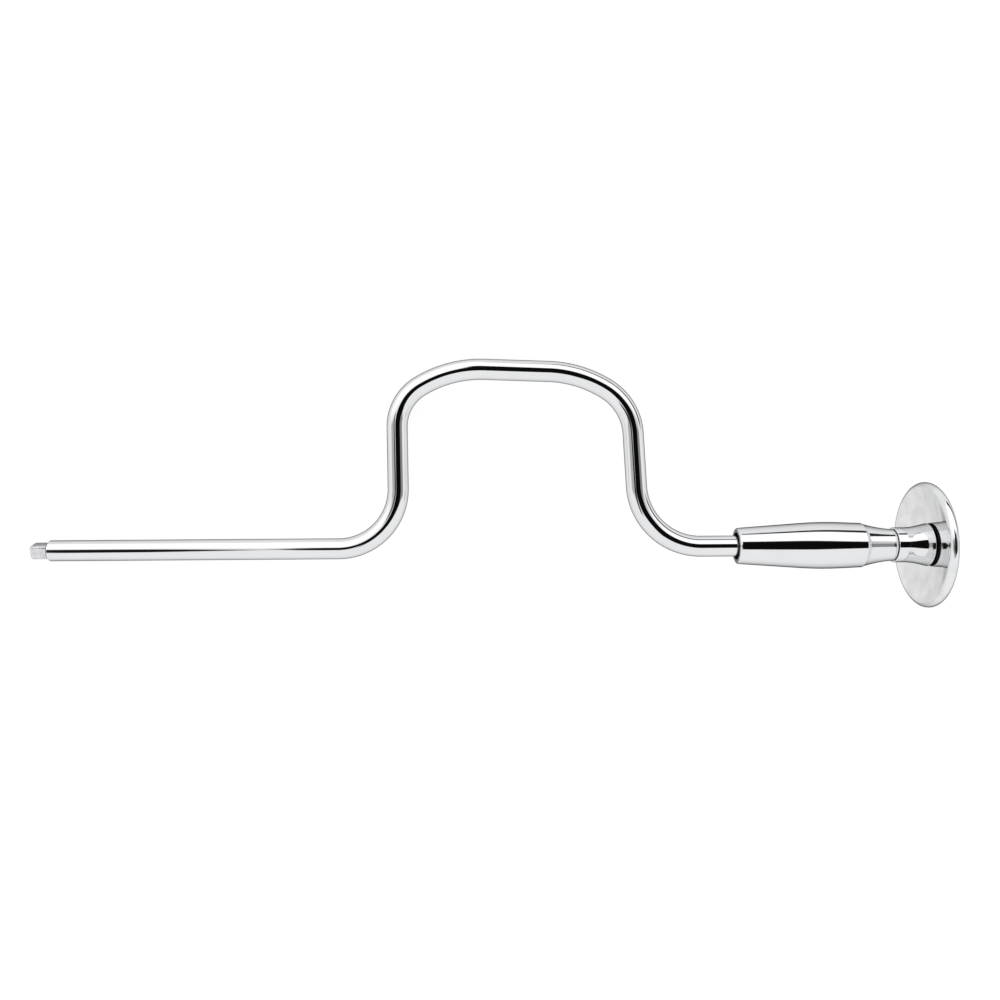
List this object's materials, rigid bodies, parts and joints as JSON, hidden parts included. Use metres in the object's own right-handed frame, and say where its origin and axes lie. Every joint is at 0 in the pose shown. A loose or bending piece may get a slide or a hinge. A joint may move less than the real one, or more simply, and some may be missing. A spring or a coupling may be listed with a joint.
{
  "type": "speed brace",
  "caption": "Cranked round bar with a square drive at one end and a free-turning barrel grip with a dished palm disc at the other, for spinning sockets fast.",
  "frame": {"origin": "centre of the square drive's end face, on the axis that the brace turns about", "axes": "+X along the turning axis from the drive to the palm disc, +Y towards the crank, +Z square to the crank's plane"},
  "size_m": [0.42, 0.1166, 0.058],
  "materials": {
    "bar_chrome": "bright chrome plate on the bent bar and its drive",
    "grip_chrome": "bright chrome plate on turned steel",
    "palm_chrome": "chrome plate over a faintly turned face",
    "bush_bronze": "plain bearing bronze",
    "hard_steel": "hardened bright steel",
    "spring_steel": "oiled spring steel"
  },
  "bodies": {
    "crank": {"crank_bar": "bar_chrome", "detent_spring": "spring_steel", "retaining_ring": "spring_steel"},
    "catch_ball": {"detent_ball": "hard_steel"},
    "handle": {"grip_sleeve": "grip_chrome", "neck_hub": "grip_chrome", "palm_disc": "palm_chrome", "front_bush": "bush_bronze", "rear_bush": "bush_bronze", "thrust_washer": "hard_steel", "retaining_washer": "hard_steel", "thrust_ball": "hard_steel"}
  },
  "joints": [
    {"name": "handle_swivel", "type": "hinge", "parent": "crank", "child": "handle", "pos_m": [0.3266, 0, 0], "axis": [1, 0, 0], "continuous": true},
    {"name": "catch_press", "type": "slide", "parent": "crank", "child": "catch_ball", "axis": [0, 0.9511, 0.309], "range_m": [0, 0.0005], "stiffness_N_per_m": 1200, "springref_m": -0.0015, "deforming": ["detent_spring"]}
  ]
}
